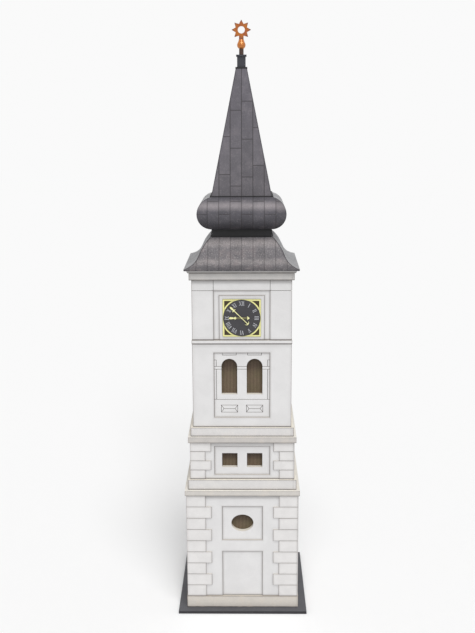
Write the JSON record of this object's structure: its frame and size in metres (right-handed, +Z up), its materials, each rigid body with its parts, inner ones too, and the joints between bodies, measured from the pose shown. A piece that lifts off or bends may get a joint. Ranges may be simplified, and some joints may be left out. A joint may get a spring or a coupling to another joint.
{
  "type": "card model of a bell tower",
  "caption": "Card kit model of a baroque bell tower on a dark plate: quoined storeys, paired arched openings, square clocks, ogee roof, bulged lantern and spire with a sun finial",
  "frame": {"origin": "centre of the base plate's underside, on the surface that the model stands on", "axes": "+Z up along the tower's axis, front face towards -Y, +X to the right as seen from the front"},
  "size_m": [0.0782, 0.0782, 0.3525],
  "materials": {
    "base_slate": "matt dark slate grey board",
    "plinth_card": "matt beige card",
    "wall_card": "matt white card with fine engraved grey-brown lines",
    "quoin_card": "matt white card, lines engraved at each stone joint",
    "cornice_card": "matt cream card",
    "dial_card": "matt charcoal card with grey numerals",
    "yellow_card": "matt pale yellow card",
    "louvre_card": "brown card engraved with narrow boards",
    "roof_card": "lead grey card, slightly mottled, with fine seam lines",
    "dark_card": "near-black card",
    "neck_card": "slate grey card",
    "rod_wood": "thin dark stained rod",
    "copper_paint": "turned bead painted copper",
    "copper_card": "copper orange card"
  },
  "bodies": {
    "root": {"base_plate": "base_slate", "plinth": "plinth_card", "ground_wall_front": "wall_card", "ground_wall_right": "wall_card", "ground_wall_back": "wall_card", "ground_wall_left": "wall_card", "ground_quoins": "quoin_card", "lower_cornice": "cornice_card", "lower_course": "cornice_card", "window_wall_front": "wall_card", "window_wall_right": "wall_card", "window_wall_back": "wall_card", "window_wall_left": "wall_card", "window_quoins": "quoin_card", "upper_cornice": "cornice_card", "upper_course": "cornice_card", "belfry_wall_front": "wall_card", "belfry_wall_right": "wall_card", "belfry_wall_back": "wall_card", "belfry_wall_left": "wall_card", "string_course": "wall_card", "clock_wall_front": "wall_card", "clock_wall_right": "wall_card", "clock_wall_back": "wall_card", "clock_wall_left": "wall_card", "clock_dials": "dial_card", "clock_frames": "yellow_card", "hour_hands": "yellow_card", "minute_hands": "yellow_card", "louvre_sheets": "louvre_card", "eaves_fascia": "cornice_card", "roof_board": "cornice_card", "ogee_front_back": "roof_card", "ogee_sides": "roof_card", "lantern_waist": "dark_card", "bulge_front_back": "roof_card", "bulge_sides": "roof_card", "spire_ledge": "dark_card", "spire_front_back": "roof_card", "spire_sides": "roof_card", "spire_cap": "dark_card", "spire_neck": "neck_card", "finial_rod": "rod_wood", "finial_ball": "copper_paint", "sun": "copper_card"}
  },
  "joints": []
}
